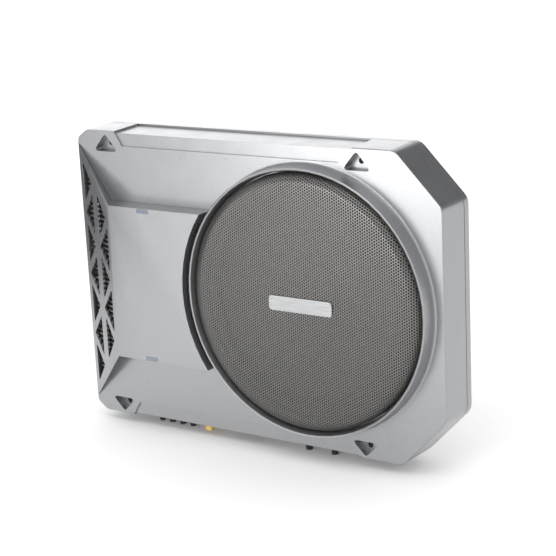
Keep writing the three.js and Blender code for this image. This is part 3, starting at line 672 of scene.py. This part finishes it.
def spider_profile():
    steps = 48
    inner = SPIDER["inner"]
    last = SPIDER["last_wave"]

    def line(offset):
        points = []
        for step in range(steps + 1):
            part = step / steps
            swing = SPIDER["swing"] * math.sin(part * TURN * SPIDER["waves"])
            points.append((inner + (last - inner) * part, SPIDER["y"] + offset + swing))
        return [*points, (SPIDER["outer"], SPIDER["y"] + offset)]

    return line(0) + list(reversed(line(SPIDER["thick"])))


def add_bending_ring(node, profile, sectors, steps):
    """A ring that joins the case to the cone, made as one piece for each sector. The sectors ride no body.
    """
    sweep = TURN / sectors
    for sector in range(sectors):
        bm = bmesh.new()
        start = sector * sweep
        lathe(bm, profile, steps, around_driver, start, sweep)
        piece = add_piece(f"{node}_sector_{sector + 1}", bm, node, 50, rides=False)
        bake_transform(piece)


def cone_profile():
    """The cone's wall, with fine pressed rings."""
    inner = CONE["inner"]
    outer = CONE["outer"]
    steps = 60
    front = []
    for step in range(steps + 1):
        part = step / steps
        radius = inner[0] + (outer[0] - inner[0]) * part
        press = CONE["press"] * math.sin(part * TURN * CONE["presses"])
        front.append((radius, inner[1] + (outer[1] - inner[1]) * part + press))
    back = [(radius, y + CONE["thick"]) for radius, y in reversed(front)]
    return front + back


def dust_cap_profile():
    steps = 14
    parts = [step / steps for step in range(steps + 1)]

    def dome(ahead):
        points = []
        for part in parts:
            y = DUST_CAP["rim_y"] - DUST_CAP["rise"] * (1 - part * part) - ahead
            points.append((part * DUST_CAP["rim_r"], y))
        return points

    return dome(DUST_CAP["thick"]) + list(reversed(dome(0)))


def make_driver():
    add_bending_ring("surround", surround_profile(), SURROUND_SECTORS, 10)
    add_bending_ring("spider", spider_profile(), SPIDER_SECTORS, 8)
    turned = {
        "cone": cone_profile(),
        "dust_cap": dust_cap_profile(),
        "clamp_ring": chamfered([(93.8, -5.9), (98.2, -5.9), (98.2, -4), (93.8, -4)], 0.5),
        "coil_former": [(19.2, 12.5), (19.9, 12.5), (19.9, 35.5), (19.2, 35.5)],
        "top_plate": chamfered([(21.3, 28.8), (45, 28.8), (45, 33.8), (21.3, 33.8)], 0.5),
        "magnet": chamfered([(25, 33.85), (46.5, 33.85), (46.5, 43.6), (25, 43.6)], 0.9),
        "pole_yoke": chamfered([
            (0, 28.8), (18.3, 28.8), (18.3, 43.65), (42, 43.65), (44, 46), (44, 48.8), (0, 48.8),
        ], 0.5),
    }
    for node, profile in turned.items():
        bm = bmesh.new()
        lathe(bm, profile, 120, around_driver)
        add_piece(node + "_turned", bm, node)
    make_winding()


def make_winding():
    """The voice coil as a stack of rounded turns."""
    inner_r = COIL["inner_r"]
    groove_r = COIL["groove_r"]
    outer_r = COIL["outer_r"]
    front = COIL["front"]
    back = COIL["back"]
    pitch = (back - front) / COIL["turns"]
    outside = []
    for turn in range(COIL["turns"]):
        low = front + turn * pitch
        outside += [(groove_r, low), (outer_r, low + 0.25 * pitch), (outer_r, low + 0.75 * pitch)]
    bm = bmesh.new()
    lathe(bm, [(inner_r, front), *outside, (groove_r, back), (inner_r, back)], 96, around_driver)
    add_piece("voice_coil_winding", bm, "voice_coil", 60)


# ---------------------------------------------------------------- controls and sockets

def fluted(count, depth):
    """How far a grip with this many flutes is drawn in at an angle, for lathe()."""
    return lambda angle: depth * (0.5 - 0.5 * math.cos(count * angle))


def make_knob(number, x):
    """The points with a third number are on the fluted grip."""
    bore = KNOB_BORE_R
    top = CAP_TOP_Z
    tip = KNOB_TIP_Z
    profile = [
        (0, tip), (KNOB_R - 0.5, tip), (KNOB_R - 0.15, tip + 0.12), (KNOB_R, tip + 0.5, 1),
        (KNOB_R, top - 1.2, 1), (KNOB_R, top - 1.0), (KNOB_R, top), (bore, top), (bore, tip + 2.8),
        (0, tip + 2.8),
    ]
    bm = bmesh.new()
    lathe(bm, profile, 120, around_upright(x, CONTROL_Y), shape=fluted(20, 0.22))
    add_box(bm, (x - 0.3, CONTROL_Y - KNOB_R + 0.3, tip - 0.12), (x + 0.3, CONTROL_Y - 0.6, tip + 0.1))
    add_piece(f"control_knob_{number}_fluted", bm, f"control_knob_{number}")


def make_fuse_cap(number, x):
    bore = FUSE_BORE_R
    top = CAP_TOP_Z
    tip = FUSE_TIP_Z
    radius = FUSE_CAP_R
    profile = [
        (0, tip + 0.6), (1.1, tip + 0.6), (1.3, tip), (radius - 0.6, tip), (radius - 0.18, tip + 0.18),
        (radius, tip + 0.6, 1), (radius, FUSE_GRIP_Z, 1), (radius, FUSE_GRIP_Z + 0.3), (radius, top),
        (bore, top), (bore, tip + 4.7), (0, tip + 4.7),
    ]
    bm = bmesh.new()
    lathe(bm, profile, 96, around_upright(x, CONTROL_Y), shape=fluted(16, 0.2))
    add_piece(f"fuse_cap_{number}_fluted", bm, f"fuse_cap_{number}")


def make_rca_jack(node, y, front, back):
    """The barrel at y and the block that holds it, from front to back."""
    tip = RCA_TIP_Z
    profile = [
        (1.7, tip + 0.9), (3.1, tip + 0.9), (3.25, tip + 0.15), (3.4, tip), (3.9, tip), (4.15, tip + 0.25),
        (4.15, FLOOR_Z + 1), (1.7, FLOOR_Z + 1),
    ]
    bm = bmesh.new()
    lathe(bm, profile, 64, around_upright(RCA_X, y))
    add_box(bm, (RCA_X - 5.6, front, FLOOR_Z + 0.2), (RCA_X + 5.6, back, FLOOR_Z + 12), 0.4)
    add_piece(node + "_turned", bm, node)


def make_controls():
    for i, x in enumerate(KNOB_X):
        make_knob(i + 1, x)
    for i, x in enumerate(FUSE_X):
        make_fuse_cap(i + 1, x)
    for node, (y, front, back) in RCA.items():
        make_rca_jack(node, y, front, back)


# ---------------------------------------------------------------- amplifier

def make_capacitor(number, x, z):
    """A sleeved can with a rolled groove by its base and a shallow vent ring on its top."""
    profile = [
        (0, -7.6), (8.2, -7.6), (8.6, -8), (10.4, -8), (11, -7.4), (11, 21.5), (10.5, 22.1), (10.5, 22.9),
        (11, 23.5), (11, 25.5), (10.6, 25.9), (0, 25.9),
    ]
    bm = bmesh.new()
    lathe(bm, profile, 72, around_depth(x, z))
    add_piece(f"capacitor_{number}_can", bm, f"capacitor_{number}", 40)


def make_choke(x, z):
    """A ring wound with thick wire: the section swells once for every turn."""
    around = 240
    section = 16
    bm = bmesh.new()
    rings = []
    for i in range(around):
        major = TURN * i / around
        minor = WIRE_CORE_R + WIRE_SWELL * abs(math.sin(major * CHOKE_TURNS / 2))
        ring = []
        for j in range(section):
            angle = TURN * j / section
            radius = CHOKE_R + minor * math.cos(angle)
            y = CHOKE_Y + minor * math.sin(angle)
            ring.append(bm.verts.new(row(x + radius * math.cos(major), y, z + radius * math.sin(major))))
        rings.append(ring)
    for i in range(around):
        ring, after = rings[i], rings[(i + 1) % around]
        for j in range(section):
            k = (j + 1) % section
            bm.faces.new((ring[j], ring[k], after[k], after[j]))
    bmesh.ops.recalc_face_normals(bm, faces=bm.faces)
    add_piece("toroid_choke_wound", bm, "toroid_choke", 70)


# ---------------------------------------------------------------- camera and studio

def make_camera():
    data = bpy.data.cameras.new("camera")
    data.lens = CAMERA_LENS
    data.sensor_width = 36
    data.clip_end = 50
    camera = bpy.data.objects.new("camera", data)
    bpy.context.scene.collection.objects.link(camera)
    flat = math.cos(CAMERA_ELEVATION)
    back = Vector((
        math.sin(CAMERA_AZIMUTH) * flat,
        -math.cos(CAMERA_AZIMUTH) * flat,
        math.sin(CAMERA_ELEVATION),
    ))
    camera.location = AIM + back * CAMERA_DISTANCE
    camera.rotation_mode = "QUATERNION"
    camera.rotation_quaternion = (-back).to_track_quat("-Z", "Y") @ Quaternion((0, 0, 1), CAMERA_ROLL)
    bpy.context.scene.camera = camera


def aim(thing, place, target):
    thing.location = place
    thing.rotation_mode = "QUATERNION"
    thing.rotation_quaternion = (Vector(target) - Vector(place)).to_track_quat("-Z", "Y")


def softbox(name, place, size, power):
    data = bpy.data.lights.new(name, "AREA")
    data.shape = "RECTANGLE"
    data.size, data.size_y = size
    data.energy = power
    light = bpy.data.objects.new(name, data)
    bpy.context.scene.collection.objects.link(light)
    aim(light, place, AIM)


def stage_sheet(name, size, colour):
    mesh = bpy.data.meshes.new(name)
    w = size[0] / 2
    h = size[1] / 2
    mesh.from_pydata([(-w, -h, 0), (w, -h, 0), (w, h, 0), (-w, h, 0)], [], [(0, 1, 2, 3)])
    sheet = bpy.data.objects.new(name, mesh)
    bpy.context.scene.collection.objects.link(sheet)
    material = bpy.data.materials.new(name)
    material.use_nodes = True
    shader = material.node_tree.nodes["Principled BSDF"]
    shader.inputs["Base Color"].default_value = (*colour, 1)
    shader.inputs["Roughness"].default_value = 0.95
    mesh.materials.append(material)
    return sheet


def dark_flag(name, place, size):
    """A dark card that only reflections see."""
    flag = stage_sheet(name, size, (0.1, 0.1, 0.105))
    aim(flag, place, AIM)
    flag.visible_camera = False
    flag.visible_shadow = False
    flag.visible_diffuse = False


def make_studio():
    scene = bpy.context.scene
    scene.view_settings.view_transform = "Standard"
    world = bpy.data.worlds.new("studio")
    world.use_nodes = True
    world.node_tree.nodes["Background"].inputs["Color"].default_value = (1, 1, 1, 1)
    world.node_tree.nodes["Background"].inputs["Strength"].default_value = WORLD_STRENGTH
    scene.world = world
    stage_sheet("floor", (40, 40), (0.9, 0.9, 0.9))
    dark_flag("back_flag", (0.66, 1.3, 1.1), (1.7, 1.6))
    dark_flag("left_flag", (-0.62, -0.12, 0.12), (0.5, 0.5))
    softbox("key", (0.5, -1.0, 1.9), (1.4, 0.9), 7)
    softbox("low_front", (-0.22, -0.82, 0.2), (0.45, 0.2), 2.2)
    softbox("low_back", (-1.1, 1.7, 0.55), (1.4, 0.7), 3.6)


# ---------------------------------------------------------------- the object

ROUNDED = {
    "front_shell": 0.4, "rear_cover": 0.4, "vent_guard": 0.3, "badge_plate": 0.3, "basket": 0.3,
    "power_socket": 0.3, "terminal_block": 0.3, "clamp_bar": 0.2,
}
SUNK = {"seam_gasket": 0.9}

make_camera()
make_studio()
make_grille()
make_driver()
make_controls()
for number, place in enumerate(CAPACITORS, 1):
    make_capacitor(number, *place)
make_choke(*CHOKE)
replaced = {node for piece in bpy.data.objects for node in piece.get("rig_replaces", [])}
for node in sorted(set(nodes) - replaced):
    refine(node, ROUNDED.get(node, 0), SUNK.get(node, 0))
